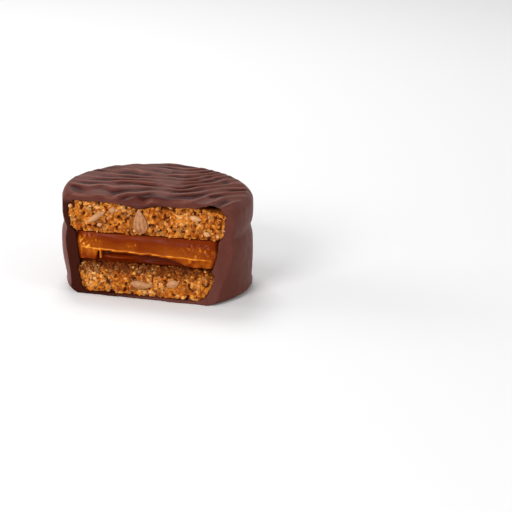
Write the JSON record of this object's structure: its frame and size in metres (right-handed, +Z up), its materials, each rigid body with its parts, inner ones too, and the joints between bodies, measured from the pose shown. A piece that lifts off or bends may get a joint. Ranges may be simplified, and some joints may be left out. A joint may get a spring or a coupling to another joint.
{
  "type": "alfajor cookie",
  "caption": "Chocolate coated alfajor with a slice cut off its front, showing seeded biscuits round a caramel filling; stands on its flat base.",
  "frame": {"origin": "on the flat base, at the centre of the round cookie as it was before the cut", "axes": "+Z up from the base to the rippled top; -Y towards the cut front; +X to the right of someone who faces the cut"},
  "size_m": [0.0583, 0.0486, 0.0306],
  "materials": {
    "dark_chocolate": "satin dark chocolate",
    "seeded_biscuit": "baked golden crumb",
    "milk_caramel": "glossy milk caramel",
    "sunflower_seed": "toasted seed kernel"
  },
  "bodies": {
    "root": {"chocolate_coating": "dark_chocolate", "upper_biscuit": "seeded_biscuit", "caramel_filling": "milk_caramel", "lower_biscuit": "seeded_biscuit"}
  },
  "joints": []
}
